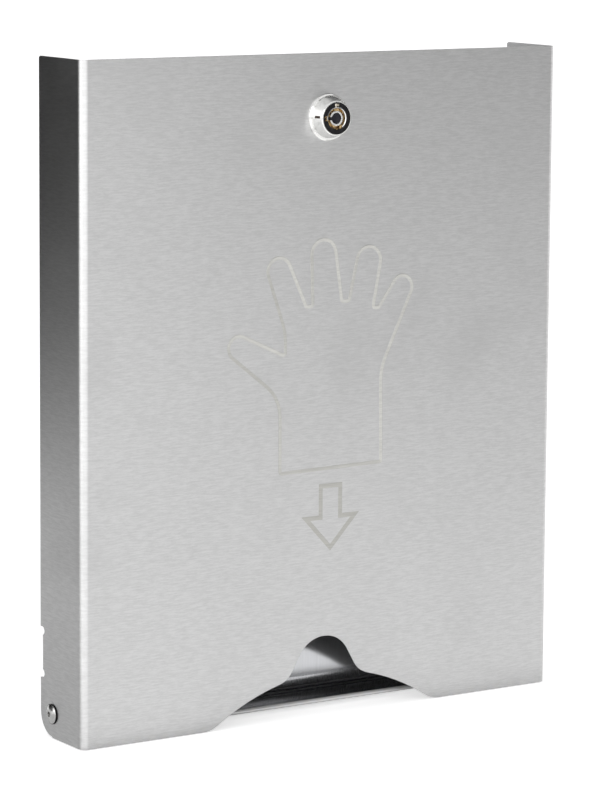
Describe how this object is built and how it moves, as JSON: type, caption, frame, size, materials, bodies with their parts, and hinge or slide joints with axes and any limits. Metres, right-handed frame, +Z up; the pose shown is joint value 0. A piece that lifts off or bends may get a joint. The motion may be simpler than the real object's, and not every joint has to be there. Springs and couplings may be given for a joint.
{
  "type": "disposable glove dispenser",
  "caption": "Flat wall-hung dispenser for disposable gloves: brushed-steel cover hinged at its foot, bell-shaped mouth over a hemmed trough, tubular cam lock near the top.",
  "frame": {"origin": "centre of the four wall-fixing holes, in the wall plane at the back of the wall plate, halfway up the cover", "axes": "+X to the right seen from the front, +Y into the wall, +Z up; the front faces -Y"},
  "size_m": [0.2716, 0.0474, 0.32],
  "materials": {
    "cover_steel": "brushed grain across the width",
    "plate_steel": "fine bright grain",
    "lock_chrome": "bright, slightly worn",
    "lock_black": "black, satin",
    "lock_brass": "turned",
    "post_steel": "bright",
    "fastener_steel": "plain zinc-plated",
    "rivet_steel": "plain",
    "mandrel_steel": "dull broken end",
    "washer_nylon": "plain"
  },
  "bodies": {
    "wall_side": {"wall_plate": "plate_steel", "hanging_stud_left": "rivet_steel", "hanging_stud_right": "rivet_steel", "hinge_rivet_left": "rivet_steel", "hinge_rivet_right": "rivet_steel", "hinge_mandrel_left": "mandrel_steel", "hinge_mandrel_right": "mandrel_steel", "hinge_washer_left": "washer_nylon", "hinge_washer_right": "washer_nylon"},
    "cover": {"front_cover": "cover_steel", "lock_housing": "lock_chrome", "lock_sleeve": "lock_black", "lock_washer": "fastener_steel", "lock_nut": "fastener_steel"},
    "lock_core": {"lock_rotor": "lock_brass", "lock_post": "post_steel", "lock_pins": "post_steel", "cam_stop_washer": "fastener_steel", "lock_cam": "fastener_steel", "cam_spring_washer": "fastener_steel", "cam_nut": "fastener_steel"}
  },
  "joints": [
    {"name": "cover_tilt", "type": "hinge", "parent": "wall_side", "child": "cover", "pos_m": [0, -0.0115, -0.1485], "axis": [1, 0, 0], "range_deg": [0, 78]},
    {"name": "lock_turn", "type": "hinge", "parent": "cover", "child": "lock_core", "pos_m": [0, -0.04, 0.1294], "axis": [0, 1, 0], "range_deg": [0, 90]}
  ]
}
